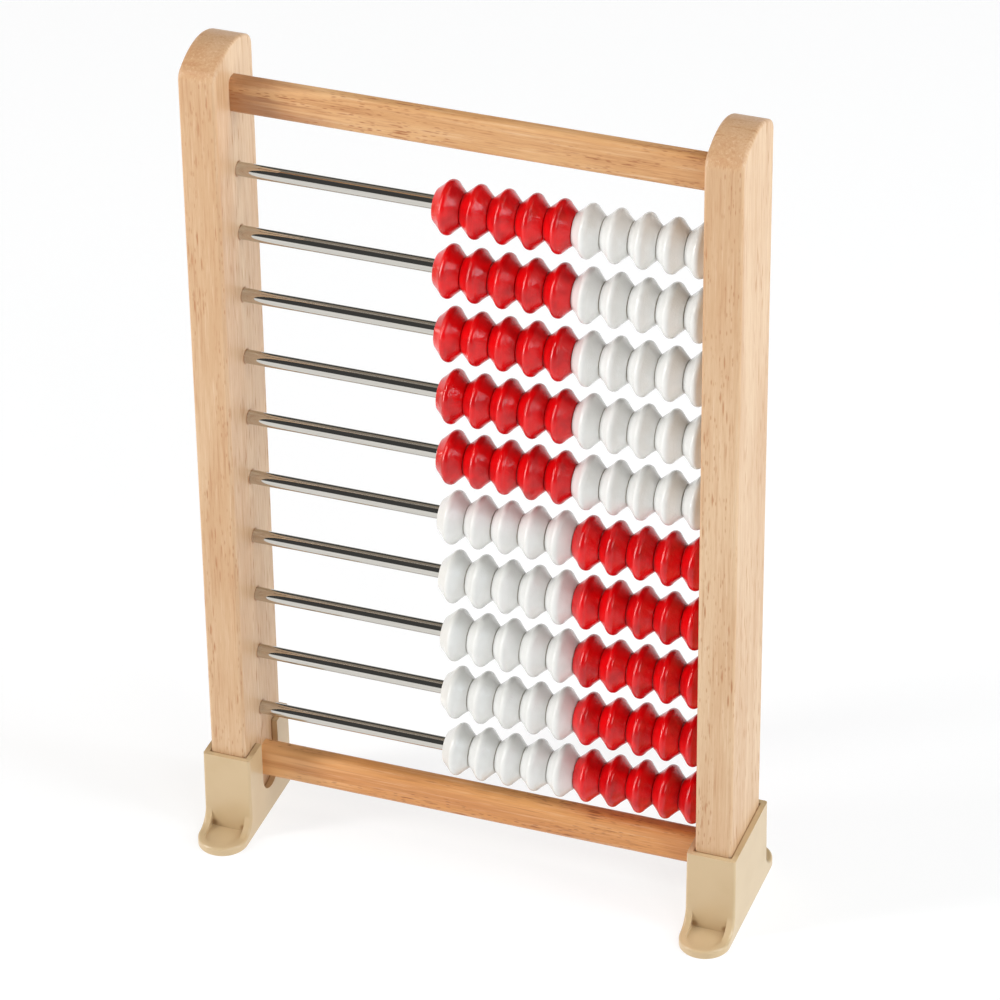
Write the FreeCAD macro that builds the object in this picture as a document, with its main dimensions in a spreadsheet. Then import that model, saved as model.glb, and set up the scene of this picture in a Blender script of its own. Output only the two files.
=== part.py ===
import FreeCAD, Part
import math
import os

import Sketcher
from FreeCAD import Vector

# Counting frame (abacus): two upright posts in moulded feet, two rails, ten rods and a
# hundred beads. Millimetres, +Z up. X runs along the rods, Y from front to back. The
# origin is on the ground, midway between the posts and midway through their depth.

SIZES = (
    ("inner_width", 171.0, "clear width between the posts"),
    ("post_width", 13.5, "post across the frame"),
    ("post_depth", 34.0, "post from front to back"),
    ("post_height", 318.5, "top of the post's crown above the ground"),
    ("crown_radius", 27.0, "arc over the top of the post"),
    ("crown_corner", 5.0, "rounding where the crown meets the front and back"),
    ("post_edge", 1.4, "rounding of the long edges"),
    ("row_pitch", 25.0, "rod to rod"),
    ("row_count", 10, "rods"),
    ("top_row", 270.0, "axis of the top rod above the ground"),
    ("rod_diameter", 5.0, "steel rod"),
    ("rod_socket", 7.0, "depth of the rod's blind hole in the post"),
    ("rod_fit", 0.02, "radial clearance of the rod in its blind hole"),
    ("rod_chamfer", 0.4, "chamfer on the rod's ends"),
    ("bead_diameter", 19.4, "bead at its rim"),
    ("bead_length", 9.83, "bead along the rod"),
    ("bead_gap", 0.1, "left between neighbours that touch"),
    ("bead_bore", 7.0, "hole through the bead"),
    ("bead_hang", 0.9, "how far a bead hangs below the rod's axis"),
    ("bead_face", 10.0, "flat end of the bead, diameter"),
    ("bead_nose", 1.5, "rounding of the end face's edge"),
    ("bead_rim", 1.9, "rounding of the rim"),
    ("bead_count", 5, "beads of one colour on one rod"),
    ("top_rail_height", 13.0, "top rail, up"),
    ("top_rail_depth", 6.0, "top rail, front to back"),
    ("top_rail_edge", 2.0, "rounding of its long edges"),
    ("top_rail_level", 300.4, "its middle above the ground"),
    ("top_rail_shift", -1.7, "its middle from the posts' middle, towards the back"),
    ("low_rail_height", 13.3, "bottom rail, up"),
    ("low_rail_depth", 8.0, "bottom rail, front to back"),
    ("low_rail_edge", 3.0, "rounding of its long edges"),
    ("low_rail_level", 22.3, "its middle above the ground"),
    ("low_rail_shift", 0.4, "its middle from the posts' middle, towards the back"),
    ("tenon_length", 8.0, "how far a rail goes into the post"),
    ("tenon_fit", 0.03, "clearance round a rail in its mortise"),
    ("foot_wall", 2.3, "wall of the socket round the post"),
    ("foot_fit", 0.04, "clearance of the post in the socket"),
    ("foot_floor", 2.6, "floor of the socket"),
    ("foot_rim", 33.6, "top of the socket above the ground"),
    ("foot_draft", 0.25, "how much wider the foot is at the ground than at its rim, each side"),
    ("face_draft", 0.15, "the same on the socket's front and back, down to the toe"),
    ("toe_reach", 34.2, "tip of the toe on the ground, from the post's middle"),
    ("toe_height", 3.0, "thickness of the toe's plate"),
    ("toe_spring", 9.4, "where the toe's hollow curve leaves the socket, above the ground"),
    ("toe_hollow", 6.4, "radius of that hollow curve"),
    ("toe_edge", 1.0, "rounding of the toe's rim and of the socket's corners"),
    ("dish_half", 6.4, "half the width of the dish in the toe"),
    ("dish_lip", 2.4, "rim in front of the dish"),
    ("dish_floor", 2.0, "bottom of the dish above the ground"),
    ("notch_width", 15.2, "slot in the inner wall for the bottom rail"),
    ("notch_bottom", 9.9, "lowest point of the slot above the ground"),
)

LEFT, RIGHT = -1, 1
PATTERN_AXES = {"X": "X_Axis", "Z": "Z_Axis"}
CLEAR = 2.0  # how far a cutting outline runs past what it cuts
NEAR = 0.02  # lengths this close to each other count as equal
MARGIN = 1.0  # how far inside a feature's limits an edge must lie to belong to it
ALIGNED = 0.999  # share of an edge's length that lies along an axis it runs along

document = FreeCAD.newDocument("counting_frame")
sheet = document.addObject("Spreadsheet::Sheet", "sizes")
for row, (alias, value, meaning) in enumerate(SIZES, start=1):
    sheet.set(f"A{row}", alias)
    sheet.set(f"B{row}", str(value))
    sheet.set(f"C{row}", meaning)
    sheet.setAlias(f"B{row}", alias)
document.recompute()


def size(alias):
    """The value of a driving dimension."""
    return float(getattr(sheet, alias))


# Building blocks -----------------------------------------------------------------------


def new_body(label):
    body = document.addObject("PartDesign::Body", label)
    body.Label = label
    return body


def origin_feature(body, role):
    return next(item for item in body.Origin.OriginFeatures if item.Role == role)


def new_sketch(body, name, plane_role, offset="0"):
    """A sketch on one of the body's own planes, moved along the plane's normal."""
    sketch = body.newObject("Sketcher::SketchObject", name)
    sketch.AttachmentSupport = (origin_feature(body, plane_role), "")
    sketch.MapMode = "FlatFace"
    sketch.setExpression("AttachmentOffset.Base.z", offset)
    return sketch


def driven(sketch, kind, arguments, name, expression, start):
    """Add a dimension that the sheet drives. It is created at its starting value."""
    index = sketch.addConstraint(Sketcher.Constraint(kind, *arguments, start))
    sketch.renameConstraint(index, name)
    sketch.setExpression(f"Constraints.{name}", expression)


def closed_outline(sketch, points):
    """Straight edges through the points, joined end to end. Returns their numbers."""
    count = len(points)
    edges = []
    for number, point in enumerate(points):
        after = points[(number + 1) % count]
        line = Part.LineSegment(Vector(*point, 0), Vector(*after, 0))
        edges.append(sketch.addGeometry(line, False))
    for number, edge in enumerate(edges):
        following = edges[(number + 1) % count]
        sketch.addConstraint(Sketcher.Constraint("Coincident", edge, 2, following, 1))
    return edges


def rectangle(sketch, left, bottom, width, height):
    """A rectangle whose corner and sides are (expression, starting value) pairs."""
    x, y = left[1], bottom[1]
    across, up = width[1], height[1]
    corners = ((x, y), (x + across, y), (x + across, y + up), (x, y + up))
    low, right, high, side = closed_outline(sketch, corners)
    for edge in (low, high):
        sketch.addConstraint(Sketcher.Constraint("Horizontal", edge))
    for edge in (right, side):
        sketch.addConstraint(Sketcher.Constraint("Vertical", edge))
    driven(sketch, "DistanceX", (-1, 1, low, 1), "corner_x", *left)
    driven(sketch, "DistanceY", (-1, 1, low, 1), "corner_y", *bottom)
    driven(sketch, "DistanceX", (low, 1, low, 2), "across", *width)
    driven(sketch, "DistanceY", (right, 1, right, 2), "up", *height)


def circle(sketch, centre_x, centre_y, radius):
    """A circle whose centre and radius are (expression, starting value) pairs."""
    shape = Part.Circle(Vector(centre_x[1], centre_y[1], 0), Vector(0, 0, 1), radius[1])
    ring = sketch.addGeometry(shape, False)
    driven(sketch, "DistanceX", (-1, 1, ring, 3), "centre_x", *centre_x)
    driven(sketch, "DistanceY", (-1, 1, ring, 3), "centre_y", *centre_y)
    driven(sketch, "Radius", (ring,), "radius", *radius)


def extrude(body, kind, sketch, name, length, reversed_way=False, midplane=False):
    """A Pad or a Pocket of the sketch, as long as the expression says."""
    feature = body.newObject(f"PartDesign::{kind}", name)
    feature.Profile = sketch
    feature.Reversed = reversed_way
    feature.Midplane = midplane
    feature.setExpression("Length", length)
    sketch.Visibility = False
    document.recompute()
    return feature


def round_edges(body, name, base, chosen, radius):
    """Round the edges of a feature that the test `chosen` picks out."""
    picked = [f"Edge{i}" for i, edge in enumerate(base.Shape.Edges, start=1) if chosen(edge)]
    fillet = body.newObject("PartDesign::Fillet", name)
    fillet.Base = (base, picked)
    fillet.setExpression("Radius", radius)
    document.recompute()
    return fillet


def repeat(body, name, feature, axis, spacing, count, reversed_way=False):
    """Repeat a feature in a straight line along one of the body's axes."""
    pattern = body.newObject("PartDesign::LinearPattern", name)
    pattern.Originals = [feature]
    pattern.Direction = (origin_feature(body, PATTERN_AXES[axis]), [""])
    pattern.Reversed = reversed_way
    pattern.setExpression("Occurrences", count)
    pattern.setExpression("Length", f"({spacing}) * ({count} - 1)")
    body.Tip = pattern
    document.recompute()
    return pattern


def along(edge, axis):
    """True for a straight edge that runs along the axis "X", "Y" or "Z"."""
    if not isinstance(edge.Curve, Part.Line):
        return False
    box = edge.BoundBox
    lengths = {"X": box.XLength, "Y": box.YLength, "Z": box.ZLength}
    return lengths[axis] > ALIGNED * edge.Length


def place(body, x="0", y="0", z="0"):
    """Bind the body's position in the frame to expressions."""
    for letter, expression in (("x", x), ("y", y), ("z", z)):
        body.setExpression(f"Placement.Base.{letter}", expression)


# The wooden frame ----------------------------------------------------------------------

RAILS = ("top_rail", "low_rail")


def rail_section(sketch, rail, grow):
    """The rail's section seen along X, larger all round by the expression `grow`."""
    depth, height = size(f"{rail}_depth"), size(f"{rail}_height")
    shift, level = size(f"{rail}_shift"), size(f"{rail}_level")
    rectangle(
        sketch,
        (f"sizes.{rail}_shift - sizes.{rail}_depth / 2 - {grow}", shift - depth / 2),
        (f"sizes.{rail}_level - sizes.{rail}_height / 2 - {grow}", level - height / 2),
        (f"sizes.{rail}_depth + 2 * {grow}", depth),
        (f"sizes.{rail}_height + 2 * {grow}", height),
    )


def make_rail(label, rail):
    """A rail with rounded long edges. Its ends are full-section tenons."""
    body = new_body(label)
    sketch = new_sketch(body, f"{label}_section", "YZ_Plane")
    rail_section(sketch, rail, "0")
    length = "sizes.inner_width + 2 * sizes.tenon_length"
    bar = extrude(body, "Pad", sketch, f"{label}_bar", length, midplane=True)
    round_edges(
        body, f"{label}_edges", bar, lambda edge: along(edge, "X"), f"sizes.{rail}_edge"
    )


def post_side_view(sketch):
    """The post's outline seen along X: straight sides under a shallow arc."""
    half = size("post_depth") / 2
    bottom, top = size("foot_floor"), size("post_height")
    radius = size("crown_radius")
    spring = top - radius + math.sqrt(radius**2 - half**2)
    corners = ((-half, spring), (-half, bottom), (half, bottom), (half, spring))
    edges = []
    for start, end in zip(corners, corners[1:]):
        line = Part.LineSegment(Vector(*start, 0), Vector(*end, 0))
        edges.append(sketch.addGeometry(line, False))
    front, foot, back = edges
    arc = Part.Arc(Vector(half, spring, 0), Vector(0, top, 0), Vector(-half, spring, 0))
    crown = sketch.addGeometry(arc, False)
    sketch.addConstraint(Sketcher.Constraint("Coincident", front, 2, foot, 1))
    sketch.addConstraint(Sketcher.Constraint("Coincident", foot, 2, back, 1))
    sketch.addConstraint(Sketcher.Constraint("Coincident", back, 2, crown, 1))
    sketch.addConstraint(Sketcher.Constraint("Coincident", crown, 2, front, 1))
    sketch.addConstraint(Sketcher.Constraint("Vertical", front))
    sketch.addConstraint(Sketcher.Constraint("Vertical", back))
    sketch.addConstraint(Sketcher.Constraint("Horizontal", foot))
    sketch.addConstraint(Sketcher.Constraint("PointOnObject", crown, 3, -2))
    driven(sketch, "DistanceX", (-1, 1, foot, 1), "front_x", "-sizes.post_depth / 2", -half)
    driven(sketch, "DistanceX", (-1, 1, foot, 2), "back_x", "sizes.post_depth / 2", half)
    driven(sketch, "DistanceY", (-1, 1, foot, 1), "bottom", "sizes.foot_floor", bottom)
    driven(sketch, "Radius", (crown,), "crown", "sizes.crown_radius", radius)
    driven(
        sketch,
        "DistanceY",
        (-1, 1, crown, 3),
        "crown_centre",
        "sizes.post_height - sizes.crown_radius",
        top - radius,
    )


def make_post(label, side):
    """An upright with a crowned top, blind rod holes and two mortises."""
    body = new_body(label)
    outline = new_sketch(body, f"{label}_outline", "YZ_Plane")
    post_side_view(outline)
    plank = extrude(body, "Pad", outline, f"{label}_plank", "sizes.post_width", midplane=True)
    middle_height = size("post_height") / 2

    def crown_corner(edge):
        return along(edge, "X") and edge.CenterOfMass.z > middle_height

    corners = round_edges(body, f"{label}_corners", plank, crown_corner, "sizes.crown_corner")
    half = size("post_width") / 2

    def arris(edge):
        box = edge.BoundBox
        flat = box.XLength < NEAR and abs(abs(box.Center.x) - half) < NEAR
        return flat and box.ZMax > size("foot_floor") + MARGIN

    round_edges(body, f"{label}_arrises", corners, arris, "sizes.post_edge")

    inner = f"{-side} * sizes.post_width / 2"
    into_wood = side == RIGHT
    hole = new_sketch(body, f"{label}_hole", "YZ_Plane", inner)
    circle(
        hole,
        ("0", 0),
        ("sizes.top_row", size("top_row")),
        ("sizes.rod_diameter / 2 + sizes.rod_fit", size("rod_diameter") / 2),
    )
    socket = extrude(body, "Pocket", hole, f"{label}_socket", "sizes.rod_socket", into_wood)
    repeat(
        body, f"{label}_sockets", socket, "Z", "sizes.row_pitch", "sizes.row_count", True
    )
    for rail in RAILS:
        section = new_sketch(body, f"{label}_{rail}_section", "YZ_Plane", inner)
        rail_section(section, rail, "sizes.tenon_fit")
        mortise = extrude(
            body, "Pocket", section, f"{label}_{rail}_mortise", "sizes.tenon_length", into_wood
        )
        middle = size(f"{rail}_level")
        reach = size(f"{rail}_height")

        def mortise_corner(edge):
            near = abs(edge.CenterOfMass.z - middle) < reach
            short = abs(edge.Length - size("tenon_length")) < NEAR
            return along(edge, "X") and near and short

        round_edges(
            body,
            f"{label}_{rail}_corners",
            mortise,
            mortise_corner,
            f"sizes.{rail}_edge + sizes.tenon_fit",
        )
    place(body, x=f"{side} * (sizes.inner_width + sizes.post_width) / 2")


# The moulded feet ----------------------------------------------------------------------


def straight(sketch, start, end):
    return sketch.addGeometry(Part.LineSegment(Vector(*start, 0), Vector(*end, 0)), False)


def half_circle(sketch, centre, radius, begin):
    """Half a circle that starts at the angle `begin` and turns anticlockwise."""
    ring = Part.Circle(Vector(*centre, 0), Vector(0, 0, 1), radius)
    return sketch.addGeometry(Part.ArcOfCircle(ring, begin, begin + math.pi), False)


def foot_plan(sketch):
    """The foot's outline on the ground: straight sides between two half circles."""
    half = size("post_width") / 2 + size("foot_wall") + size("foot_draft")
    middle = size("toe_reach") - half
    back = half_circle(sketch, (0, middle), half, 0)
    inner = straight(sketch, (-half, middle), (-half, -middle))
    front = half_circle(sketch, (0, -middle), half, math.pi)
    outer = straight(sketch, (half, -middle), (half, middle))
    loop = (back, inner, front, outer, back)
    for edge, following in zip(loop, loop[1:]):
        sketch.addConstraint(Sketcher.Constraint("Tangent", edge, 2, following, 1))
    sketch.addConstraint(Sketcher.Constraint("Symmetric", back, 3, front, 3, -1, 1))
    sketch.addConstraint(Sketcher.Constraint("Vertical", outer))
    width = "(sizes.post_width / 2 + sizes.foot_wall + sizes.foot_draft)"
    driven(sketch, "Radius", (back,), "half_width", width, half)
    centre = f"sizes.toe_reach - {width}"
    driven(sketch, "DistanceX", (-1, 1, back, 3), "centre_x", "0", 0)
    driven(sketch, "DistanceY", (-1, 1, back, 3), "centre_y", centre, middle)


def round_ended(sketch, way, middle, centre, half, flat):
    """A slot with one half-circle end, which points up (way 1) or down (way -1), and one
    flat end. Each of the other values is an (expression, starting value) pair."""
    x, y, radius, end = middle[1], centre[1], half[1], flat[1]
    cup = half_circle(sketch, (x, y), radius, 0 if way > 0 else math.pi)
    first = straight(sketch, (x - way * radius, y), (x - way * radius, end))
    base = straight(sketch, (x - way * radius, end), (x + way * radius, end))
    second = straight(sketch, (x + way * radius, end), (x + way * radius, y))
    sketch.addConstraint(Sketcher.Constraint("Tangent", cup, 2, first, 1))
    sketch.addConstraint(Sketcher.Constraint("Coincident", first, 2, base, 1))
    sketch.addConstraint(Sketcher.Constraint("Coincident", base, 2, second, 1))
    sketch.addConstraint(Sketcher.Constraint("Tangent", second, 2, cup, 1))
    sketch.addConstraint(Sketcher.Constraint("Vertical", first))
    sketch.addConstraint(Sketcher.Constraint("Vertical", second))
    sketch.addConstraint(Sketcher.Constraint("Horizontal", base))
    driven(sketch, "Radius", (cup,), "half_width", *half)
    driven(sketch, "DistanceX", (-1, 1, cup, 3), "middle", *middle)
    driven(sketch, "DistanceY", (-1, 1, cup, 3), "centre", *centre)
    driven(sketch, "DistanceY", (-1, 1, base, 1), "flat_end", *flat)


def dish_plan(sketch):
    """The shallow dish in the back toe, from the socket's face to its round front."""
    half = size("dish_half")
    centre = size("toe_reach") - size("dish_lip") - half
    face = size("post_depth") / 2 + size("foot_wall") + size("face_draft")
    round_ended(
        sketch,
        1,
        ("0", 0),
        ("sizes.toe_reach - sizes.dish_lip - sizes.dish_half", centre),
        ("sizes.dish_half", half),
        ("sizes.post_depth / 2 + sizes.foot_wall + sizes.face_draft", face),
    )


def rail_notch(sketch):
    """The slot for the bottom rail: a round bottom and an open top."""
    half = size("notch_width") / 2
    round_ended(
        sketch,
        -1,
        ("sizes.low_rail_shift", size("low_rail_shift")),
        ("sizes.notch_bottom + sizes.notch_width / 2", size("notch_bottom") + half),
        ("sizes.notch_width / 2", half),
        (f"sizes.foot_rim + {CLEAR}", size("foot_rim") + CLEAR),
    )


def above_toe(sketch):
    """What is cut away above the back toe, seen from the side: the socket's face, a
    hollow curve down from it and the top of the toe's plate."""
    wall = size("post_depth") / 2 + size("foot_wall")
    face_foot = wall + size("face_draft")
    hollow, rim, spring = size("toe_hollow"), size("foot_rim"), size("toe_spring")
    far = size("toe_reach") + CLEAR
    plate = spring - hollow
    path = (
        (face_foot + hollow, plate),
        (far, plate),
        (far, rim + CLEAR),
        (wall, rim + CLEAR),
        (wall, rim),
        (face_foot, spring),
    )
    plate_top, end, lid, above, face = [
        straight(sketch, start, finish) for start, finish in zip(path, path[1:])
    ]
    ring = Part.Circle(Vector(face_foot + hollow, spring, 0), Vector(0, 0, 1), hollow)
    sweep = sketch.addGeometry(Part.ArcOfCircle(ring, math.pi, 1.5 * math.pi), False)
    loop = (plate_top, end, lid, above, face, sweep)
    for edge, following in zip(loop, loop[1:]):
        sketch.addConstraint(Sketcher.Constraint("Coincident", edge, 2, following, 1))
    sketch.addConstraint(Sketcher.Constraint("Tangent", sweep, 2, plate_top, 1))
    for edge in (plate_top, lid):
        sketch.addConstraint(Sketcher.Constraint("Horizontal", edge))
    for edge in (end, above):
        sketch.addConstraint(Sketcher.Constraint("Vertical", edge))
    outer = "sizes.post_depth / 2 + sizes.foot_wall"
    foot_of_face = f"{outer} + sizes.face_draft"
    driven(sketch, "DistanceX", (-1, 1, face, 1), "wall", outer, wall)
    driven(sketch, "DistanceY", (-1, 1, face, 1), "rim", "sizes.foot_rim", rim)
    driven(sketch, "DistanceX", (-1, 1, face, 2), "face_foot", foot_of_face, face_foot)
    driven(sketch, "DistanceY", (-1, 1, face, 2), "spring", "sizes.toe_spring", spring)
    driven(sketch, "Radius", (sweep,), "hollow", "sizes.toe_hollow", hollow)
    driven(sketch, "DistanceY", (-1, 1, plate_top, 1), "plate", "sizes.toe_height", plate)
    driven(sketch, "DistanceX", (-1, 1, end, 1), "far", f"sizes.toe_reach + {CLEAR}", far)
    driven(sketch, "DistanceY", (face, 1, above, 1), "clear", f"{CLEAR}", CLEAR)


def mirror(body, name, features, plane_role):
    """Repeat features on the other side of one of the body's planes."""
    copy = body.newObject("PartDesign::Mirrored", name)
    copy.Originals = features
    copy.MirrorPlane = (origin_feature(body, plane_role), [""])
    body.Tip = copy
    document.recompute()
    return copy


def outside_foot(point):
    """How far a point lies outside the foot's drafted sides and round ends."""
    half = size("post_width") / 2 + size("foot_wall") + size("foot_draft")
    middle = size("toe_reach") - half
    here = half - size("foot_draft") * point.z / size("foot_rim")
    past = max(abs(point.y) - middle, 0)
    return math.hypot(point.x, past) - here


def make_foot(label, side):
    """A moulded socket with a dished toe at the front and at the back."""
    body = new_body(label)
    plan = new_sketch(body, f"{label}_plan", "XY_Plane")
    foot_plan(plan)
    block = extrude(body, "Pad", plan, f"{label}_block", "sizes.foot_rim")
    block.setExpression("TaperAngle", "-atan(sizes.foot_draft / sizes.foot_rim)")
    above = new_sketch(body, f"{label}_above_toe", "YZ_Plane")
    above_toe(above)
    width = "sizes.post_width + 4 * sizes.foot_wall"
    toe = extrude(body, "Pocket", above, f"{label}_toe", width, midplane=True)
    toes = mirror(body, f"{label}_toes", [toe], "XZ_Plane")

    def outer_edge(edge):
        first, last = edge.FirstParameter, edge.LastParameter
        points = [edge.valueAt(value) for value in (first, (first + last) / 2, last)]
        on_side = all(abs(outside_foot(point)) < NEAR for point in points)
        heights = [point.z for point in points]
        off_ground = min(heights) > size("toe_height") / 2
        return on_side and off_ground and min(heights) < size("foot_rim") - MARGIN

    round_edges(body, f"{label}_edges", toes, outer_edge, "sizes.toe_edge")
    dish = new_sketch(body, f"{label}_dish_plan", "XY_Plane", "sizes.dish_floor")
    dish_plan(dish)
    depth = "sizes.toe_spring"
    hollow = extrude(body, "Pocket", dish, f"{label}_dish", depth, reversed_way=True)
    mirror(body, f"{label}_dishes", [hollow], "XZ_Plane")
    well = new_sketch(body, f"{label}_well", "XY_Plane", "sizes.foot_rim")
    across, deep = size("post_width"), size("post_depth")
    rectangle(
        well,
        ("-sizes.post_width / 2 - sizes.foot_fit", -across / 2),
        ("-sizes.post_depth / 2 - sizes.foot_fit", -deep / 2),
        ("sizes.post_width + 2 * sizes.foot_fit", across),
        ("sizes.post_depth + 2 * sizes.foot_fit", deep),
    )
    extrude(body, "Pocket", well, f"{label}_socket", "sizes.foot_rim - sizes.foot_floor")
    outside = f"{-side} * (sizes.post_width / 2 + sizes.foot_wall + sizes.foot_draft)"
    slot = new_sketch(body, f"{label}_slot", "YZ_Plane", outside)
    rail_notch(slot)
    wall = "sizes.foot_wall + sizes.foot_draft + sizes.foot_fit"
    extrude(body, "Pocket", slot, f"{label}_notch", wall, reversed_way=side == RIGHT)
    place(body, x=f"{side} * (sizes.inner_width + sizes.post_width) / 2")


# Rods and beads ------------------------------------------------------------------------

PITCH = "(sizes.bead_length + sizes.bead_gap)"


def make_rod(label, row):
    """A steel rod with chamfered ends, numbered from the top."""
    body = new_body(label)
    sketch = new_sketch(body, f"{label}_section", "YZ_Plane")
    circle(sketch, ("0", 0), ("0", 0), ("sizes.rod_diameter / 2", size("rod_diameter") / 2))
    length = "sizes.inner_width + 2 * sizes.rod_socket"
    bar = extrude(body, "Pad", sketch, f"{label}_bar", length, midplane=True)
    ends = [
        f"Edge{i}"
        for i, edge in enumerate(bar.Shape.Edges, start=1)
        if isinstance(edge.Curve, Part.Circle)
    ]
    chamfer = body.newObject("PartDesign::Chamfer", f"{label}_ends")
    chamfer.Base = (bar, ends)
    chamfer.setExpression("Size", "sizes.rod_chamfer")
    place(body, z=f"sizes.top_row - {row} * sizes.row_pitch")


def bead_half_section(sketch):
    """The bead's section above its axis: bore, flat ends, cone flanks and round rim."""
    half, bore = size("bead_length") / 2, size("bead_bore") / 2
    face, nose = size("bead_face") / 2, size("bead_nose")
    rim, outer = size("bead_rim"), size("bead_diameter") / 2
    nose_centre = Vector(half - nose, face, 0)
    rim_centre = Vector(0, outer - rim, 0)
    away = rim_centre - nose_centre
    lean = math.atan2(away.y, away.x) - math.acos((nose - rim) / away.Length)
    normal = Vector(math.cos(lean), math.sin(lean), 0)
    mirrored = Vector(-normal.x, normal.y, 0)
    other_nose = Vector(-nose_centre.x, face, 0)
    up = Vector(0, 0, 1)

    def line(start, end):
        return sketch.addGeometry(Part.LineSegment(start, end), False)

    def arc(centre, radius, begin, end):
        curve = Part.ArcOfCircle(Part.Circle(centre, up, radius), begin, end)
        return sketch.addGeometry(curve, False)

    hole = line(Vector(-half, bore, 0), Vector(half, bore, 0))
    right = line(Vector(half, bore, 0), Vector(half, face, 0))
    right_nose = arc(nose_centre, nose, 0, lean)
    right_flank = line(nose_centre + normal * nose, rim_centre + normal * rim)
    crest = arc(rim_centre, rim, lean, math.pi - lean)
    left_flank = line(rim_centre + mirrored * rim, other_nose + mirrored * nose)
    left_nose = arc(other_nose, nose, math.pi - lean, math.pi)
    left = line(Vector(-half, face, 0), Vector(-half, bore, 0))
    chain = (right, right_nose, right_flank, crest, left_flank, left_nose, left)
    for edge, following in zip(chain, chain[1:]):
        sketch.addConstraint(Sketcher.Constraint("Tangent", edge, 2, following, 1))
    sketch.addConstraint(Sketcher.Constraint("Coincident", hole, 2, right, 1))
    sketch.addConstraint(Sketcher.Constraint("Coincident", left, 2, hole, 1))
    sketch.addConstraint(Sketcher.Constraint("Horizontal", hole))
    sketch.addConstraint(Sketcher.Constraint("Vertical", right))
    sketch.addConstraint(Sketcher.Constraint("Vertical", left))
    sketch.addConstraint(Sketcher.Constraint("Equal", right_nose, left_nose))
    sketch.addConstraint(Sketcher.Constraint("PointOnObject", crest, 3, -2))
    half_length = "sizes.bead_length / 2"
    level = "sizes.bead_diameter / 2 - sizes.bead_rim"
    driven(sketch, "DistanceX", (-1, 1, hole, 2), "right", half_length, half)
    driven(sketch, "DistanceX", (hole, 1, -1, 1), "left", half_length, half)
    driven(sketch, "DistanceY", (-1, 1, hole, 1), "bore", "sizes.bead_bore / 2", bore)
    driven(sketch, "Radius", (right_nose,), "nose", "sizes.bead_nose", nose)
    driven(sketch, "Radius", (crest,), "rim", "sizes.bead_rim", rim)
    driven(sketch, "DistanceY", (-1, 1, crest, 3), "level", level, rim_centre.y)
    for name, edge in (("right_face", right_nose), ("left_face", left_nose)):
        driven(sketch, "DistanceY", (-1, 1, edge, 3), name, "sizes.bead_face / 2", face)


def make_beads(label, row, beads_after):
    """Five separate beads in a line. `beads_after` more lie between them and the right
    post when everything is pushed to the right."""
    body = new_body(label)
    body.AllowCompound = True
    sketch = new_sketch(body, f"{label}_section", "XZ_Plane")
    bead_half_section(sketch)
    bead = body.newObject("PartDesign::Revolution", f"{label}_bead")
    bead.Profile = sketch
    bead.ReferenceAxis = (sketch, ["H_Axis"])
    bead.Angle = 360
    sketch.Visibility = False
    document.recompute()
    repeat(body, f"{label}_line", bead, "X", PITCH, "sizes.bead_count")
    last = "sizes.inner_width / 2 - sizes.bead_gap - sizes.bead_length / 2"
    place(
        body,
        x=f"{last} - (sizes.bead_count - 1 + {beads_after}) * {PITCH}",
        z=f"sizes.top_row - {row} * sizes.row_pitch - sizes.bead_hang",
    )


# The whole frame -----------------------------------------------------------------------

for name, side in (("left", LEFT), ("right", RIGHT)):
    make_post(f"{name}_post", side)
    make_foot(f"{name}_foot", side)
make_rail("top_rail", "top_rail")
make_rail("bottom_rail", "low_rail")

rows = int(size("row_count"))
group = int(size("bead_count"))
for row in range(rows):
    number = f"{row + 1:02d}"
    make_rod(f"rod_{number}", row)
    upper_half = row < rows // 2
    leading, trailing = ("red", "white") if upper_half else ("white", "red")
    make_beads(f"row_{number}_{leading}_beads", row, group)
    make_beads(f"row_{number}_{trailing}_beads", row, 0)

document.recompute()

for item in document.Objects:
    if "Invalid" in item.State or "Error" in item.State:
        raise RuntimeError(f"{item.Label} failed: {item.State}")

bodies = [item for item in document.Objects if item.TypeId == "PartDesign::Body"]
for body in bodies:
    if body.Shape.isNull() or not body.Shape.isValid():
        raise RuntimeError(f"{body.Label} has no valid shape")

os.makedirs("parts", exist_ok=True)
for body in bodies:
    body.Shape.exportStep(f"parts/{body.Label}.step")
    box = body.Shape.BoundBox
    print(
        f"{body.Label:22s} solids {len(body.Shape.Solids)}  volume {body.Shape.Volume:9.1f}"
        f"  x {box.XMin:7.2f} {box.XMax:7.2f}  y {box.YMin:6.2f} {box.YMax:6.2f}"
        f"  z {box.ZMin:6.2f} {box.ZMax:6.2f}"
    )
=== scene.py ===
import math
import random

import bpy
from mathutils import Matrix, Vector


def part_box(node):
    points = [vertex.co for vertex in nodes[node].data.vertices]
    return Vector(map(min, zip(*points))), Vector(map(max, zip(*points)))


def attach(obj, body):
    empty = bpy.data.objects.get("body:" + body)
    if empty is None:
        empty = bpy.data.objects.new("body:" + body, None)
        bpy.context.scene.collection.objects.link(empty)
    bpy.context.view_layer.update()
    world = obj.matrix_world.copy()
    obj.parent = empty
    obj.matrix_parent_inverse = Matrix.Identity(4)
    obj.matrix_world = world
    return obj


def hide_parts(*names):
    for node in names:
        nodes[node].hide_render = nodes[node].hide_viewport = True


# Counting frame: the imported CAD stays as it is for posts, rails, feet and rods, and gets
# procedural materials. The beads are lathed again with finer, slightly uneven profiles.

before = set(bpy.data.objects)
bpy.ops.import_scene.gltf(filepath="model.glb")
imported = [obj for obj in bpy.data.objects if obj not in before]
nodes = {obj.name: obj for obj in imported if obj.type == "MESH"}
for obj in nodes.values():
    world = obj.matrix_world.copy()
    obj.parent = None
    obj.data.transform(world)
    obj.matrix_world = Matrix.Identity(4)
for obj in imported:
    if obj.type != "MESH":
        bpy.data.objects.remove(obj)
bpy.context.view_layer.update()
scene = bpy.context.scene

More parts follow.
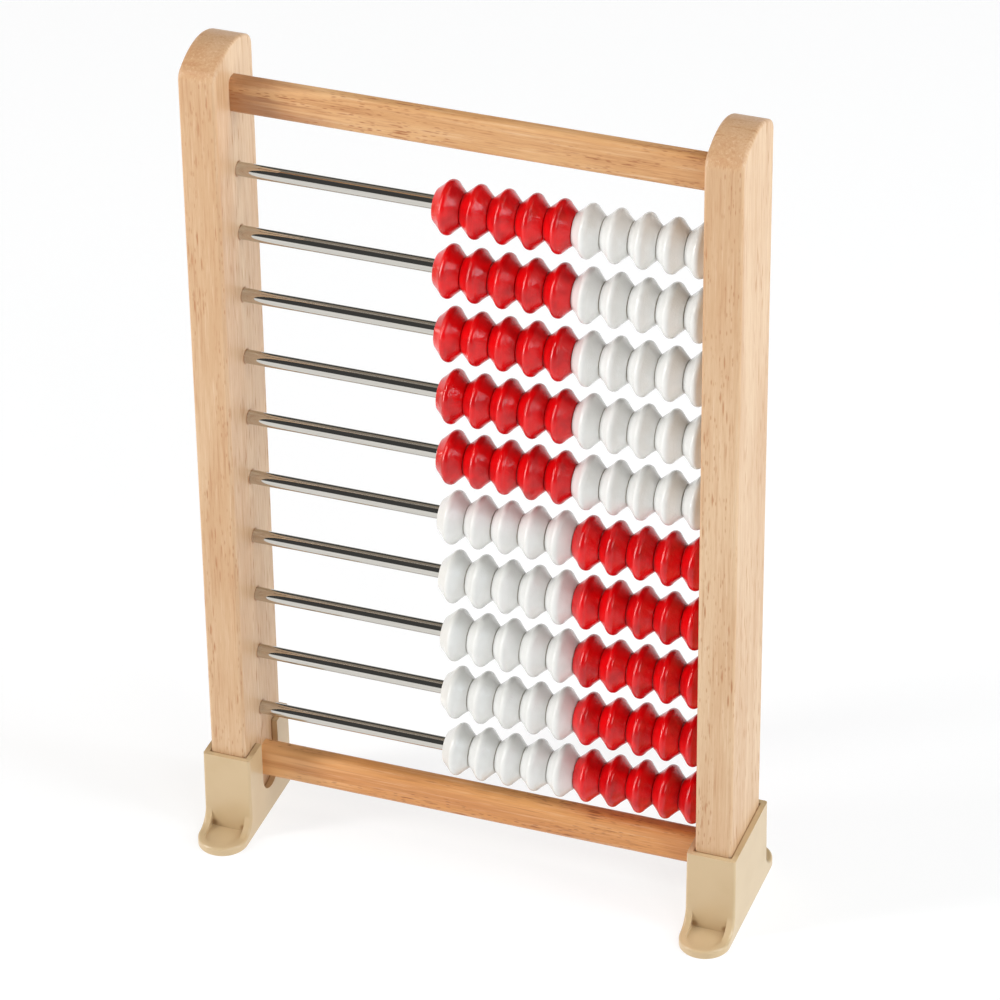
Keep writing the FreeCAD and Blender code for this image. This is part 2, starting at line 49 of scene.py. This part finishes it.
MM = 0.001
ROWS = range(1, 11)


# Node graph helpers --------------------------------------------------------------------

# The Mix node has a set of sockets for each kind of data, under the same names. These are
# the numbers of the ones for colour.
MIX_FACTOR, MIX_FIRST, MIX_SECOND, MIX_RESULT = 0, 6, 7, 2


class Graph:
    """A short way to write down a material's nodes."""

    def __init__(self, name):
        self.material = bpy.data.materials.new(name)
        self.material.use_nodes = True
        self.tree = self.material.node_tree
        self.tree.nodes.clear()
        self.shader = self.add("ShaderNodeBsdfPrincipled")
        output = self.add("ShaderNodeOutputMaterial")
        self.link(self.shader.outputs["BSDF"], output.inputs["Surface"])

    def add(self, kind, **settings):
        node = self.tree.nodes.new(kind)
        for key, value in settings.items():
            setattr(node, key, value)
        return node

    def link(self, source, target):
        self.tree.links.new(source, target)

    def put(self, target, value):
        """Set a socket to a number, or link it if the value is another node's output."""
        if isinstance(value, bpy.types.NodeSocket):
            self.link(value, target)
        else:
            target.default_value = value

    def coordinates(self, kind="Object"):
        return self.add("ShaderNodeTexCoord").outputs[kind]

    def split(self, vector):
        """A vector's X, Y and Z, by those names."""
        node = self.add("ShaderNodeSeparateXYZ")
        self.link(vector, node.inputs["Vector"])
        return node.outputs

    def where(self, scale, location=(0, 0, 0), rotation=(0, 0, 0), source=None):
        """Coordinates for a texture: the object's, or those of `source`, times `scale`.
        One unit is a metre before scaling."""
        mapping = self.add("ShaderNodeMapping")
        source = self.coordinates() if source is None else source
        self.link(source, mapping.inputs["Vector"])
        mapping.inputs["Scale"].default_value = scale
        mapping.inputs["Location"].default_value = location
        mapping.inputs["Rotation"].default_value = rotation
        return mapping.outputs["Vector"]

    def noise(self, vector, detail=2.0, roughness=0.5, distortion=0.0):
        """Noise with one unit to a feature: `vector` comes scaled."""
        node = self.add("ShaderNodeTexNoise")
        self.link(vector, node.inputs["Vector"])
        node.inputs["Scale"].default_value = 1.0
        node.inputs["Detail"].default_value = detail
        node.inputs["Roughness"].default_value = roughness
        node.inputs["Distortion"].default_value = distortion
        return node.outputs["Fac"]

    def ramp(self, value, low, high, to_low=0.0, to_high=1.0):
        """Go smoothly from `to_low` to `to_high` as the value goes from `low` to `high`."""
        node = self.add("ShaderNodeMapRange", interpolation_type="SMOOTHSTEP")
        self.put(node.inputs["Value"], value)
        node.inputs["From Min"].default_value = low
        node.inputs["From Max"].default_value = high
        node.inputs["To Min"].default_value = to_low
        node.inputs["To Max"].default_value = to_high
        return node.outputs["Result"]

    def math(self, operation, first, second=0.0):
        node = self.add("ShaderNodeMath", operation=operation)
        for socket, value in zip(node.inputs, (first, second)):
            self.put(socket, value)
        return node.outputs[0]

    def mix(self, factor, first, second):
        """Blend two colours, each a node's output or three numbers."""
        node = self.add("ShaderNodeMix", data_type="RGBA")
        self.put(node.inputs[MIX_FACTOR], factor)
        for number, value in ((MIX_FIRST, first), (MIX_SECOND, second)):
            plain = not isinstance(value, bpy.types.NodeSocket)
            self.put(node.inputs[number], (*value, 1) if plain else value)
        return node.outputs[MIX_RESULT]

    def relief(self, normal):
        """Give the same relief to the surface and to the lacquer on it."""
        self.link(normal, self.shader.inputs["Normal"])
        self.link(normal, self.shader.inputs["Coat Normal"])

    def bump(self, height, distance, normal=None):
        """Relief `distance` metres deep, on top of another bump's `normal` if given."""
        node = self.add("ShaderNodeBump")
        self.link(height, node.inputs["Height"])
        node.inputs["Distance"].default_value = distance
        if normal is not None:
            self.link(normal, node.inputs["Normal"])
        return node.outputs["Normal"]


def srgb(red, green, blue):
    """A colour given as 8-bit display values, as the linear numbers that shaders take."""

    def linear(value):
        value /= 255
        return value / 12.92 if value <= 0.04045 else ((value + 0.055) / 1.055) ** 2.4

    return (linear(red), linear(green), linear(blue))


# Materials -----------------------------------------------------------------------------

STRAW = (0.93, 0.78, 0.58)  # the lightest fibres of the wood, linear
# Towards a rail's -X end, by the left post: darker grain and painted shade on the top rail,
# painted light on the bottom rail.
END_TONE_AND_LIGHT_SPAN = (-0.088, -0.050)  # along X, in metres: where it starts to fade, and is gone
END_TONE_AND_LIGHT_SHARE = 0.65
HOLE_RIM = (0.1 * MM, 0.75 * MM)  # from a rod's surface: where it starts to fade, and is gone
FACE_DEPTH = 5 * MM  # how deep into a post the rims are painted from its inner face
ROW_MARGIN = 2 * MM  # how far above the top rod and below the lowest rims may reach
WHOLE_PITCHES = 20
GAP_SHADE_LINE = (0.15 * MM, 0.65 * MM)  # painted shade in the gap round a post, from the post's surface
PIT_SHADE = (5.8 * MM, 2.6 * MM, 3.4 * MM)  # painted shade of a pit in a dish: from post's middle, its face, sole
PIT_SHADE_RADIUS = (0.5 * MM, 1.9 * MM)
CONTACT_SHADE_FROM = 4.6 * MM  # radius on a bead's face where the painted shade of touching beads starts to fade


def beech(name, grain, seed, base, dark, fleck, busy=0.0, end_tone_and_painted_light=None):
    """Steamed beech: soft figure and fine fibres along the grain, and short darker flecks.
    `grain` is "X" or "Z", and `busy` adds flecks. Colours are linear.
    `end_tone_and_painted_light` tints a rail towards its -X end, by the left post: darker
    grain and painted shade on the top rail, painted light on the bottom rail."""
    g = Graph(name)

    def stretched(along, across):
        """Scale per metre: `along` the grain and `across` it."""
        return (along, across, across) if grain == "X" else (across, across, along)

    shift = (seed * 3.7, seed * 1.9, seed * 2.3)
    ring_scale = (9, 80, 340) if grain == "X" else (80, 340, 9)
    cloud = g.noise(g.where(stretched(6, 45), shift), detail=3.0, distortion=0.8)
    rings = g.noise(g.where(ring_scale, shift), detail=3.0, distortion=0.4)
    streaks = g.noise(g.where(stretched(34, 1150), shift), detail=3.0, roughness=0.65)
    fibre = g.noise(g.where(stretched(150, 3000), shift), detail=2.0, roughness=0.6)
    cut_across = g.ramp(g.split(g.coordinates("Normal"))[grain], 0.2, 0.85)
    colour = g.mix(g.ramp(cloud, 0.32, 0.70), base, dark)
    colour = g.mix(g.math("MULTIPLY", cut_across, 0.30), colour, fleck)
    lined = g.math("ADD", g.math("MULTIPLY", cut_across, 0.45), 0.45)
    colour = g.mix(g.math("MULTIPLY", g.ramp(rings, 0.46, 0.70), lined), colour, dark)
    line = g.math("MULTIPLY", g.ramp(rings, 0.60, 0.72), g.math("MULTIPLY", cut_across, 0.5))
    colour = g.mix(line, colour, fleck)
    colour = g.mix(g.math("MULTIPLY", g.ramp(streaks, 0.50, 0.78), 0.55), colour, fleck)
    lights = g.math("MULTIPLY", g.ramp(streaks, 0.48, 0.26), 0.22)
    colour = g.mix(lights, colour, STRAW)
    colour = g.mix(g.math("MULTIPLY", g.ramp(fibre, 0.48, 0.72), 0.22), colour, fleck)
    # Painted light and shade by the left post, with the top rail's darker grain there.
    if end_tone_and_painted_light is not None:
        wander = g.ramp(rings, 0.3, 0.7, -0.02, 0.02)
        wavering = g.math("ADD", g.split(g.coordinates())["X"], wander)
        near_end = g.ramp(wavering, *END_TONE_AND_LIGHT_SPAN, END_TONE_AND_LIGHT_SHARE, 0.0)
        colour = g.mix(near_end, colour, end_tone_and_painted_light)

    def flecks(along, across, share, widest):
        """Short dark vessels and rays, one to a cell, gathered in drifts."""
        cells = g.add("ShaderNodeTexVoronoi", feature="F1", distance="EUCLIDEAN")
        g.link(g.where(stretched(along, across), shift), cells.inputs["Vector"])
        cells.inputs["Scale"].default_value = 1.0
        cells.inputs["Randomness"].default_value = 1.0
        core = g.ramp(cells.outputs["Distance"], widest * 0.35, widest, 1.0, 0.0)
        drawn = g.add("ShaderNodeSeparateColor")
        g.link(cells.outputs["Color"], drawn.inputs["Color"])
        chosen = g.ramp(drawn.outputs[0], 1 - share, 1 - share * 0.5)
        drift = g.ramp(g.noise(g.where(stretched(20, 150), shift), detail=1.0), 0.36, 0.62)
        on_side = g.math("MULTIPLY", drift, g.math("SUBTRACT", 1.0, cut_across))
        return g.math("MULTIPLY", g.math("MULTIPLY", core, chosen), on_side)

    long_flecks = flecks(100, 900, 0.42 + 0.3 * busy, 0.38)
    fine_flecks = flecks(300, 1350, 0.48 + 0.4 * busy, 0.42)
    colour = g.mix(g.math("MULTIPLY", long_flecks, 0.85), colour, fleck)
    colour = g.mix(g.math("MULTIPLY", fine_flecks, 0.6 + 0.2 * busy), colour, fleck)

    if grain == "Z":
        colour = around_rods(g, colour, fleck)
    g.link(colour, g.shader.inputs["Base Color"])

    worn = g.math("ADD", long_flecks, g.math("MULTIPLY", fine_flecks, 0.6))
    rough = g.math("ADD", g.ramp(fibre, 0.3, 0.7, 0.42, 0.52), g.math("MULTIPLY", worn, 0.12))
    g.link(rough, g.shader.inputs["Roughness"])
    fibres = g.math("ADD", g.math("MULTIPLY", fibre, 0.4), g.math("MULTIPLY", streaks, 0.4))
    height = g.math("SUBTRACT", fibres, g.math("MULTIPLY", worn, 0.8))
    g.relief(g.bump(height, 0.00010))
    g.shader.inputs["Coat Weight"].default_value = 0.12
    g.shader.inputs["Coat Roughness"].default_value = 0.30
    return g.material


def around_rods(g, colour, dark):
    """Darken a thin ring round each rod's hole, on a post's inner face."""
    place = g.split(g.coordinates())
    low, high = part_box("rod_10"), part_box("rod_01")
    lowest = (low[0].z + low[1].z) / 2
    pitch = ((high[0].z + high[1].z) / 2 - lowest) / (len(ROWS) - 1)
    radius = (low[1].z - low[0].z) / 2
    # Height off the nearest rod. It is counted from a whole number of pitches below the
    # lowest rod, which is below the sole, so it is positive all over the post.
    above = g.math("SUBTRACT", place["Z"], lowest - WHOLE_PITCHES * pitch)
    off = g.math("PINGPONG", above, pitch / 2)
    across = g.math("MULTIPLY", place["Y"], place["Y"])
    distance = g.math("SQRT", g.math("ADD", across, g.math("MULTIPLY", off, off)))
    ring = g.ramp(distance, radius + HOLE_RIM[0], radius + HOLE_RIM[1], 0.85, 0.0)
    inner = g.math("ABSOLUTE", place["X"])
    near = g.math("LESS_THAN", inner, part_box("right_post")[0].x + FACE_DEPTH)
    below_top = g.math("LESS_THAN", place["Z"], high[1].z + ROW_MARGIN)
    above_bottom = g.math("GREATER_THAN", place["Z"], low[0].z - ROW_MARGIN)
    rows = g.math("MULTIPLY", below_top, above_bottom)
    return g.mix(g.math("MULTIPLY", ring, g.math("MULTIPLY", near, rows)), colour, dark)


def moulded(name, side, base, shade, dark):
    """Glossy moulded plastic for one foot: a faint mottle, painted shade in the gap where the
    post enters, and painted shade of small pits in the corners of the dishes."""
    g = Graph(name)
    mottle = g.noise(g.where((60, 60, 60)), detail=3.0)
    colour = g.mix(g.ramp(mottle, 0.35, 0.70), base, shade)

    place = g.split(g.coordinates())
    post_low, post_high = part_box(f"{side}_post")
    middle = (post_low.x + post_high.x) / 2
    beside = g.math("ABSOLUTE", g.math("SUBTRACT", place["X"], middle))
    ahead = g.math("ABSOLUTE", place["Y"])
    past_side = g.math("SUBTRACT", beside, (post_high.x - post_low.x) / 2)
    past_front = g.math("SUBTRACT", ahead, post_high.y)
    # Painted shade in the gap where the post enters the foot.
    line = g.ramp(g.math("MAXIMUM", past_side, past_front), *GAP_SHADE_LINE, 0.85, 0.0)
    colour = g.mix(line, colour, dark)

    def squared(value, centre):
        off = g.math("SUBTRACT", value, centre)
        return g.math("MULTIPLY", off, off)

    # Painted shade of a small pit in a corner of each dish.
    level = g.math("ADD", squared(beside, PIT_SHADE[0]), squared(ahead, post_high.y + PIT_SHADE[1]))
    distance = g.math("SQRT", g.math("ADD", level, squared(place["Z"], PIT_SHADE[2])))
    colour = g.mix(g.ramp(distance, *PIT_SHADE_RADIUS, 0.65, 0.0), colour, dark)
    g.link(colour, g.shader.inputs["Base Color"])

    grit = g.noise(g.where((2600, 2600, 2600)), detail=2.0, roughness=0.55)
    waves = g.noise(g.where((150, 150, 90)), detail=1.0)
    g.link(g.ramp(grit, 0.3, 0.7, 0.28, 0.30), g.shader.inputs["Roughness"])
    fine = g.bump(grit, 0.000001)
    soft = g.bump(waves, 0.00005, normal=fine)
    g.link(soft, g.shader.inputs["Normal"])
    g.shader.inputs["IOR"].default_value = 1.5
    return g.material


def polished_steel(name):
    """Drawn steel rod, plated and polished, with faint lengthwise lines."""
    g = Graph(name)
    drawn = g.noise(g.where((30, 5200, 5200)), detail=3.0, roughness=0.65)
    smears = g.noise(g.where((45, 300, 300)), detail=3.0)
    tone = g.mix(g.ramp(drawn, 0.3, 0.7), srgb(196, 193, 186), srgb(208, 205, 198))
    g.link(tone, g.shader.inputs["Base Color"])
    g.shader.inputs["Metallic"].default_value = 1.0
    smeared = g.ramp(smears, 0.35, 0.75, 0.03, 0.09)
    rough = g.math("ADD", smeared, g.ramp(drawn, 0.5, 0.8, 0, 0.03))
    g.link(rough, g.shader.inputs["Roughness"])
    g.link(g.bump(drawn, 0.0000015), g.shader.inputs["Normal"])
    return g.material


def bead_paint(name, base, deep, pale, pale_strength, contact_shade, reach):
    """Gloss lacquer over turned wood: the grain and the turning marks show through.
    The mesh carries `turning`: place along the rod, radius, and a number drawn for each bead.
    `contact_shade` is the colour of the painted shade on the faces where beads touch, out to
    the radius `reach` in metres."""
    g = Graph(name)
    turning = g.add("ShaderNodeAttribute", attribute_name="turning").outputs["Vector"]
    place = g.split(turning)
    radius, drawn = place["Y"], place["Z"]
    rings = g.noise(g.where((1300, 1300, 7), source=turning), detail=3.0, roughness=0.6)
    slanted = g.where((600, 1700, 1250), rotation=(0.5, 0.2, 0.1))
    grain = g.noise(slanted, detail=4.0, roughness=0.7)
    patches = g.noise(g.where((150, 150, 150)), detail=2.0)
    colour = g.mix(g.math("MULTIPLY", g.ramp(patches, 0.38, 0.7), 0.6), base, deep)
    marks = g.math("ADD", g.math("MULTIPLY", rings, 0.45), g.math("MULTIPLY", grain, 0.55))
    scuffs = g.math("MULTIPLY", g.ramp(marks, 0.52, 0.72), pale_strength)
    colour = g.mix(scuffs, colour, pale)
    colour = g.mix(g.math("MULTIPLY", drawn, 0.22), colour, deep)
    # Painted shade where a bead touches its neighbours: strong near the bore, gone at the
    # radius `reach`.
    shade_radius = g.math("ADD", radius, g.ramp(grain, 0.3, 0.7, -0.15 * MM, 0.15 * MM))
    colour = g.mix(g.ramp(shade_radius, CONTACT_SHADE_FROM, reach, 0.9, 0.0), colour, contact_shade)
    g.link(colour, g.shader.inputs["Base Color"])
    g.link(g.ramp(marks, 0.35, 0.7, 0.40, 0.52), g.shader.inputs["Roughness"])
    undulation = g.noise(g.where((230, 380, 380)), detail=1.0)
    soft = g.bump(undulation, 0.00005)
    g.relief(g.bump(marks, 0.00015, normal=soft))
    g.shader.inputs["Specular IOR Level"].default_value = 0.05
    g.shader.inputs["Coat Weight"].default_value = 0.85
    g.shader.inputs["Coat Roughness"].default_value = 0.08
    return g.material


POST_BASE, POST_DARK = srgb(217, 184, 147), srgb(202, 162, 121)
FLECK = srgb(176, 117, 70)
RAIL_FLECK = srgb(158, 94, 48)
materials = {
    "left_post": beech("beech_left_post", "Z", 1.0, POST_BASE, POST_DARK, FLECK),
    "right_post": beech("beech_right_post", "Z", 2.6, POST_BASE, POST_DARK, FLECK),
    "top_rail": beech(
        "beech_top_rail", "X", 4.1, srgb(221, 176, 126), srgb(199, 144, 88), RAIL_FLECK,
        # Darker -X end: darker grain, and painted shade where the left post shades the rail.
        busy=1.0, end_tone_and_painted_light=srgb(146, 84, 42),
    ),
    "bottom_rail": beech(
        "beech_bottom_rail", "X", 5.3, srgb(220, 156, 91), srgb(190, 119, 61), RAIL_FLECK,
        # Lighter -X end: painted light over the shade that the left post casts.
        busy=1.0, end_tone_and_painted_light=srgb(240, 186, 128),
    ),
}
steel = polished_steel("polished_rod")
# The `contact_shade` colour of each paint is painted shade where the beads touch.
red = bead_paint(
    "red_bead_paint", srgb(226, 2, 8), srgb(168, 1, 7), srgb(240, 46, 42), 0.45,
    contact_shade=srgb(158, 0, 7), reach=6.2 * MM,
)
white = bead_paint(
    "white_bead_paint", srgb(228, 228, 225), srgb(218, 218, 214), srgb(235, 235, 232), 0.4,
    contact_shade=srgb(188, 164, 118), reach=5.9 * MM,
)
# The third tone is painted shade: the gap round each post and the pits in the dishes.
foot_tones = srgb(204, 178, 139), srgb(199, 172, 132), srgb(140, 96, 56)


def dress(node, material):
    """Give a CAD node's object this material alone."""
    slots = nodes[node].data.materials
    slots.clear()
    slots.append(material)


for node, material in materials.items():
    dress(node, material)
for side in ("left", "right"):
    dress(f"{side}_foot", moulded(f"moulded_{side}_foot", side, *foot_tones))
for row in ROWS:
    dress(f"rod_{row:02d}", steel)


# Beads ---------------------------------------------------------------------------------

BEADS_IN_GROUP = 5

# A bead's sizes, in millimetres. Pairs are the limits that each bead's own size is drawn from.
BORE = 3.5  # radius
NECK = 0.35  # rounding inside the mouth of the bore
BEAD_GAP = 0.1
HALF_LESS = (0.01, 0.05)  # how much less than the CAD's its half length is
CREST_MORE = (-0.18, 0.16)  # how much more than the CAD's its radius at the crest is
FACE_RADIUS, FACE_MORE = 5.35, (-0.15, 0.15)  # the flat ends
NOSE_ROUNDING = (0.7, 1.0)  # from the flat end to the flank
CREST_ROUNDING = (1.75, 2.05)
FLANK_HOLLOW = (0.04, 0.13)

# Steps of the lathed mesh.
AROUND = 72
MOUTH_STEPS, NOSE_STEPS, FLANK_STEPS, CREST_STEPS = 3, 7, 7, 8

STACK_LENGTH = 0.0944  # metres from the right post to the middle of the farthest bead
# How much nearer to the post each row's farthest bead is, because beads differ in thickness.
# Less than -0.05 would push the leading bead into the left post at the end of its travel.
ROW_SLACK = (0.22, -0.05, -0.03, 0.45, -0.05, -0.05, -0.05, 0.3, 0.1, 0.2)


def arc(centre, radius, begin, end, steps):
    """Points along an arc, both ends included. Angles are in radians."""
    points = []
    for step in range(steps + 1):
        angle = begin + (end - begin) * step / steps
        points.append(
            (centre[0] + radius * math.cos(angle), centre[1] + radius * math.sin(angle))
        )
    return points


def bead_profile(half, crest, face, nose, rim, hollow):
    """Half of a bead's section, from the middle of its bore to its crest: pairs of
    distance along the rod and radius. `nose` and `rim` are the roundings of the end and of
    the crest, and `hollow` is how far the flank between them dips."""
    nose_centre = (half - nose, face)
    rim_centre = (0.0, crest - rim)
    away = (rim_centre[0] - nose_centre[0], rim_centre[1] - nose_centre[1])
    reach = math.hypot(*away)
    lean = math.atan2(away[1], away[0]) - math.acos((nose - rim) / reach)
    points = [(0.0, BORE), (half * 0.5, BORE), (half - NECK, BORE)]
    points += arc((half - NECK, BORE + NECK), NECK, -math.pi / 2, 0, MOUTH_STEPS)[1:]
    points += arc(nose_centre, nose, 0, lean, NOSE_STEPS)
    start = points[-1]
    end = (rim_centre[0] + rim * math.cos(lean), rim_centre[1] + rim * math.sin(lean))
    for step in range(1, FLANK_STEPS):
        share = step / FLANK_STEPS
        dip = hollow * 4 * share * (1 - share)
        points.append(
            (
                start[0] + (end[0] - start[0]) * share - dip * math.cos(lean),
                start[1] + (end[1] - start[1]) * share - dip * math.sin(lean),
            )
        )
    points += arc(rim_centre, rim, lean, math.pi / 2, CREST_STEPS)
    return points


def lathe(half_points, centre, turn, vertices, faces, marks, drawn):
    """Add a bead turned about an axis along X through `centre`. The corners of a face go
    round so that it faces outwards. `marks` gets what bead_paint calls `turning`."""
    mirrored = [(-x, r) for x, r in reversed(half_points[1:-1])]
    section = half_points + mirrored
    first = len(vertices)
    for x, radius in section:
        for step in range(AROUND):
            angle = turn + 2 * math.pi * step / AROUND
            vertices.append(
                (
                    centre[0] + x * MM,
                    centre[1] + radius * MM * math.cos(angle),
                    centre[2] + radius * MM * math.sin(angle),
                )
            )
            marks += (centre[0] + x * MM, radius * MM, drawn)
    rings = len(section)
    for ring in range(rings):
        after = (ring + 1) % rings
        for step in range(AROUND):
            beside = (step + 1) % AROUND
            faces.append(
                (
                    first + ring * AROUND + step,
                    first + after * AROUND + step,
                    first + after * AROUND + beside,
                    first + ring * AROUND + beside,
                )
            )


def make_beads(row, colour, material):
    """The five beads of one colour in a row, as one piece that stands for the CAD's."""
    node = f"row_{row:02d}_{colour}_beads"
    low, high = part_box(node)
    length = (high.x - low.x) / MM
    bead = (length - BEAD_GAP * (BEADS_IN_GROUP - 1)) / BEADS_IN_GROUP
    crest = (high.z - low.z) / MM / 2
    middle = (low.z + high.z) / 2
    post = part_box("right_post")[0].x
    chance = random.Random(node)
    vertices, faces, marks = [], [], []
    for number in range(BEADS_IN_GROUP):
        x = low.x + (bead / 2 + number * (bead + BEAD_GAP)) * MM
        x += ROW_SLACK[row - 1] * MM * (post - x) / STACK_LENGTH
        profile = bead_profile(
            bead / 2 - chance.uniform(*HALF_LESS),
            crest + chance.uniform(*CREST_MORE),
            FACE_RADIUS + chance.uniform(*FACE_MORE),
            chance.uniform(*NOSE_ROUNDING),
            chance.uniform(*CREST_ROUNDING),
            chance.uniform(*FLANK_HOLLOW),
        )
        turn = chance.uniform(0, math.pi)
        lathe(profile, (x, 0.0, middle), turn, vertices, faces, marks, chance.random())
    mesh = bpy.data.meshes.new(f"{node}_turned")
    mesh.from_pydata(vertices, [], faces)
    mesh.attributes.new("turning", "FLOAT_VECTOR", "POINT").data.foreach_set("vector", marks)
    mesh.materials.append(material)
    piece = bpy.data.objects.new(f"{node}_turned", mesh)
    scene.collection.objects.link(piece)
    for polygon in mesh.polygons:
        polygon.use_smooth = True
    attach(piece, node)
    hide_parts(node)


for row in ROWS:
    make_beads(row, "red", red)
    make_beads(row, "white", white)


# Floor, light and camera ---------------------------------------------------------------

HALF_FLOOR = 15.0
FLOOR_DROP = 0.0002
# The lamps light the middle of the paper; farther out it glows more, to stay as white.
LAMPLIT, UNLIT = 0.7, 3.0  # metres from the middle: where the glow starts to grow, and stops
GLOW_LAMPLIT, GLOW_UNLIT = 0.76, 1.0

floor_mesh = bpy.data.meshes.new("floor")
corners = ((-1, -1), (1, -1), (1, 1), (-1, 1))
floor_mesh.from_pydata(
    [(x * HALF_FLOOR, y * HALF_FLOOR, -FLOOR_DROP) for x, y in corners], [], [(0, 1, 2, 3)]
)
floor = bpy.data.objects.new("floor", floor_mesh)
scene.collection.objects.link(floor)
paper = Graph("pale_floor")
paper.shader.inputs["Base Color"].default_value = (0.28, 0.28, 0.28, 1)
paper.shader.inputs["Roughness"].default_value = 0.9
paper.shader.inputs["Specular IOR Level"].default_value = 0.1
paper.shader.inputs["Emission Color"].default_value = (1, 1, 1, 1)
far = paper.add("ShaderNodeVectorMath", operation="LENGTH")
paper.link(paper.coordinates(), far.inputs[0])
glow = paper.ramp(far.outputs["Value"], LAMPLIT, UNLIT, GLOW_LAMPLIT, GLOW_UNLIT)
paper.link(glow, paper.shader.inputs["Emission Strength"])
floor_mesh.materials.append(paper.material)

HORIZON_LIGHT = 1.0  # the sweep of pale paper, up to a low elevation
ROOM_DARK = 0.07  # the unlit studio above it
PAPER_TOP, DARK_FROM = 0.11, 0.17  # sines of elevations

world = bpy.data.worlds.new("studio")
scene.world = world
world.use_nodes = True
sky = world.node_tree
direction = sky.nodes.new("ShaderNodeTexCoord").outputs["Generated"]
split = sky.nodes.new("ShaderNodeSeparateXYZ")
sky.links.new(direction, split.inputs["Vector"])
fade = sky.nodes.new("ShaderNodeMapRange")
fade.interpolation_type = "SMOOTHSTEP"
sky.links.new(split.outputs["Z"], fade.inputs["Value"])
fade.inputs["From Min"].default_value = PAPER_TOP
fade.inputs["From Max"].default_value = DARK_FROM
fade.inputs["To Min"].default_value = HORIZON_LIGHT
fade.inputs["To Max"].default_value = ROOM_DARK
backdrop = sky.nodes["Background"]
backdrop.inputs["Color"].default_value = (1, 1, 1, 1)
sky.links.new(fade.outputs["Result"], backdrop.inputs["Strength"])


def softbox(name, position, target, width, height, power, colour=(1, 1, 1)):
    """A lamp that the camera doesn't see, aimed at `target`. Sizes are in metres, power in
    watts."""
    light = bpy.data.lights.new(name, "AREA")
    light.shape = "RECTANGLE"
    light.size = width
    light.size_y = height
    light.energy = power
    light.color = colour
    lamp = bpy.data.objects.new(name, light)
    lamp.location = position
    lamp.rotation_mode = "QUATERNION"
    lamp.rotation_quaternion = (Vector(target) - Vector(position)).to_track_quat("-Z", "Y")
    lamp.visible_camera = False
    scene.collection.objects.link(lamp)


MIDDLE = (0, 0, 0.15)  # of the object, about
WARM, COOL = (1, 0.80, 0.60), (0.84, 0.96, 1.06)
softbox("overhead", (0.0, 0.35, 1.5), (0, 0.1, 0), 1.6, 1.3, 1.7, WARM)
softbox("right", (3.78, -0.20, 1.82), MIDDLE, 1.45, 1.3, 86, COOL)
softbox("high_right", (1.0, 0.1, 1.9), MIDDLE, 1.0, 1.0, 11)
softbox("front_right", (1.28, -1.28, 1.41), MIDDLE, 0.9, 0.9, 12)
softbox("left_strip", (-1.3, -0.75, 1.25), (0, 0, 1.25), 0.28, 2.2, 30)

scene.view_settings.view_transform = "Standard"

# Solved from the outline in the photograph.
LENS, SENSOR_WIDTH = 184.0, 36.0  # millimetres
CAMERA_PLACE = Vector((0.5158, -1.3908, 1.1313))
CAMERA_FORWARD = Vector((-0.2864, 0.7841, -0.5505)).normalized()
CAMERA_ROLL = math.radians(-0.705)
NEAREST, FARTHEST = 0.05, 60.0  # metres; the whole floor is in reach

camera_data = bpy.data.cameras.new("camera")
camera_data.lens = LENS
camera_data.sensor_width = SENSOR_WIDTH
camera_data.clip_start = NEAREST
camera_data.clip_end = FARTHEST
camera = bpy.data.objects.new("camera", camera_data)
scene.collection.objects.link(camera)
camera.location = CAMERA_PLACE
camera.rotation_mode = "QUATERNION"
level = CAMERA_FORWARD.to_track_quat("-Z", "Y")
camera.rotation_quaternion = level @ Matrix.Rotation(CAMERA_ROLL, 3, "Z").to_quaternion()
scene.camera = camera
